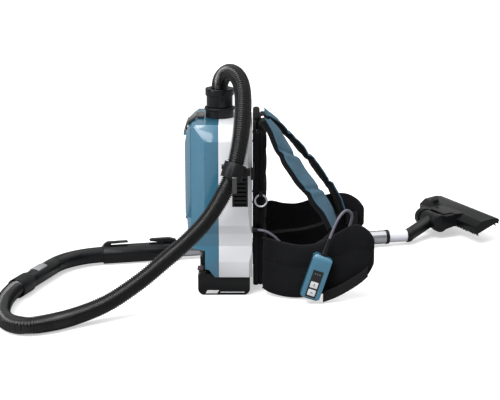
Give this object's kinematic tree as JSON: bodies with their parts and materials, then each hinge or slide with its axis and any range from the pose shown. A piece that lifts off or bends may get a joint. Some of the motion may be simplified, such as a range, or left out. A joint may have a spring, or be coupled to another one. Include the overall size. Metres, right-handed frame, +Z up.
{
  "type": "backpack vacuum cleaner",
  "caption": "Battery backpack vacuum: two-tone body on a padded harness with hip wings, side hand control, ribbed hose, telescopic wand and floor nozzle.",
  "frame": {"origin": "on the floor under the middle of the base foot", "axes": "+Z up; +X from the dust door towards the wearer's back; -Y is the side with the hose"},
  "size_m": [1.1765, 0.9491, 0.5094],
  "materials": {
    "blue_shell": "moulded, fine texture",
    "white_shell": "moulded, satin",
    "black_plastic": "matt moulded",
    "dark_plastic": "matt moulded",
    "grey_plastic": "glossy",
    "steel": "brushed",
    "tube_metal": "satin anodised",
    "tube_white": "smooth",
    "hose_black": "ribbed flexible plastic",
    "seal_black": "matt",
    "strap_blue": "woven",
    "pad_black": "woven over foam",
    "web_black": "woven webbing",
    "web_grey": "woven",
    "bag_cloth": "non-woven",
    "bag_card": "card",
    "filter": "pleated",
    "board": "circuit board",
    "motor_metal": "cast",
    "button_pink": "smooth",
    "button_white": "smooth",
    "cable_grey": "smooth"
  },
  "bodies": {
    "vacuum_body": {"rear_housing": "white_shell", "front_housing": "blue_shell", "chassis": "dark_plastic", "door_seal": "seal_black", "hinge_pins": "steel", "vent_grilles": "black_plastic", "neck_collar": "dark_plastic", "bag_collar": "bag_card", "dust_bag": "bag_cloth", "pre_filter": "filter", "motor_housing": "dark_plastic", "motor": "motor_metal", "motor_bearings": "steel", "exhaust_filters": "filter", "control_board": "board", "base_foot": "dark_plastic", "vacuum_hose": "hose_black", "hose_clip": "dark_plastic", "clip_strap": "web_black", "harness_frame": "dark_plastic", "harness_screws": "steel", "back_pad": "pad_black", "carry_loop": "web_grey", "shoulder_strap_near": "strap_blue", "shoulder_strap_far": "strap_blue", "hip_wing_near": "pad_black", "hip_wing_far": "pad_black", "belt_webbing": "web_black", "buckle_plug": "dark_plastic", "buckle_socket": "dark_plastic", "remote_shell": "blue_shell", "remote_panel": "black_plastic", "strain_relief": "black_plastic", "cable_gland": "dark_plastic", "remote_cable": "cable_grey", "bent_pipe": "black_plastic", "outer_tube": "tube_metal", "tube_collar": "black_plastic"},
    "dust_door": {"dust_door": "blue_shell"},
    "door_latch": {"door_latch": "grey_plastic"},
    "fan": {"impeller": "motor_metal", "motor_shaft": "steel"},
    "battery_left": {"battery_left": "black_plastic", "cells_left": "steel"},
    "battery_right": {"battery_right": "black_plastic", "cells_right": "steel"},
    "battery_button_left": {"battery_button_left": "button_pink"},
    "battery_button_right": {"battery_button_right": "button_pink"},
    "hose_cuff": {"hose_cuff": "black_plastic"},
    "clip_lever": {"clip_lever": "grey_plastic"},
    "side_ring": {"side_ring": "steel"},
    "power_button": {"power_button": "button_white"},
    "mode_button": {"mode_button": "button_white"},
    "wand_swivel": {"wand_swivel": "dark_plastic"},
    "suction_slider": {"suction_slider": "grey_plastic"},
    "pipe_latch": {"pipe_latch": "dark_plastic"},
    "inner_tube": {"inner_tube": "tube_white"},
    "nozzle_elbow": {"nozzle_elbow": "black_plastic"},
    "nozzle_head": {"nozzle_head": "black_plastic", "nozzle_sole": "dark_plastic"}
  },
  "joints": [
    {"name": "dust_door_hinge", "type": "hinge", "parent": "vacuum_body", "child": "dust_door", "pos_m": [-0.083, 0, 0.172], "axis": [0, -1, 0], "range_deg": [0, 100]},
    {"name": "door_latch_pivot", "type": "hinge", "parent": "dust_door", "child": "door_latch", "pos_m": [-0.0895, 0, 0.352], "axis": [0, -1, 0], "range_deg": [0, 50]},
    {"name": "fan_spin", "type": "hinge", "parent": "vacuum_body", "child": "fan", "pos_m": [0.008, 0, 0.12], "axis": [0, 0, 1], "continuous": true},
    {"name": "battery_left_slide", "type": "slide", "parent": "vacuum_body", "child": "battery_left", "axis": [-1, 0, 0], "range_m": [0, 0.12]},
    {"name": "battery_right_slide", "type": "slide", "parent": "vacuum_body", "child": "battery_right", "axis": [-1, 0, 0], "range_m": [0, 0.12]},
    {"name": "battery_button_left_press", "type": "slide", "parent": "battery_left", "child": "battery_button_left", "axis": [1, 0, 0], "range_m": [0, 0.002], "stiffness_N_per_m": 400},
    {"name": "battery_button_right_press", "type": "slide", "parent": "battery_right", "child": "battery_button_right", "axis": [1, 0, 0], "range_m": [0, 0.002], "stiffness_N_per_m": 400},
    {"name": "cuff_swivel", "type": "hinge", "parent": "vacuum_body", "child": "hose_cuff", "pos_m": [-0.012, 0, 0.41], "axis": [0, 0, 1], "continuous": true},
    {"name": "clip_lever_pivot", "type": "hinge", "parent": "vacuum_body", "child": "clip_lever", "pos_m": [0.023, -0.197, 0.289], "axis": [-1, 0, 0], "range_deg": [0, 70]},
    {"name": "side_ring_swing", "type": "hinge", "parent": "vacuum_body", "child": "side_ring", "pos_m": [0.08, -0.099, 0.228], "axis": [-1, 0, 0], "range_deg": [0, 60]},
    {"name": "power_button_press", "type": "slide", "parent": "vacuum_body", "child": "power_button", "axis": [0, 1, 0], "range_m": [0, 0.0015], "stiffness_N_per_m": 300},
    {"name": "mode_button_press", "type": "slide", "parent": "vacuum_body", "child": "mode_button", "axis": [0, 1, 0], "range_m": [0, 0.0015], "stiffness_N_per_m": 300},
    {"name": "wand_swivel_turn", "type": "hinge", "parent": "vacuum_body", "child": "wand_swivel", "pos_m": [-0.45231, -0.10764, 0.0235], "axis": [-0.3206, -0.9472, 0], "continuous": true},
    {"name": "suction_slide", "type": "slide", "parent": "vacuum_body", "child": "suction_slider", "axis": [-0.3206, -0.9472, 0], "range_m": [0, 0.02]},
    {"name": "pipe_latch_rock", "type": "hinge", "parent": "vacuum_body", "child": "pipe_latch", "pos_m": [-0.15885, 0.16364, 0.0505], "axis": [-0.2215, 0.9751, 0], "range_deg": [-5, 0], "stiffness_Nm_per_rad": 2},
    {"name": "inner_tube_slide", "type": "slide", "parent": "vacuum_body", "child": "inner_tube", "axis": [0.9751, 0.2215, 0], "range_m": [0, 0.28]},
    {"name": "elbow_swivel", "type": "hinge", "parent": "inner_tube", "child": "nozzle_elbow", "pos_m": [0.43111, 0.29768, 0.0235], "axis": [0.9751, 0.2215, 0], "range_deg": [-60, 60]},
    {"name": "head_tilt", "type": "hinge", "parent": "nozzle_elbow", "child": "nozzle_head", "pos_m": [0.522, 0.387, 0.042], "axis": [-0.4305, 0.9026, 0], "range_deg": [-35, 45]}
  ]
}
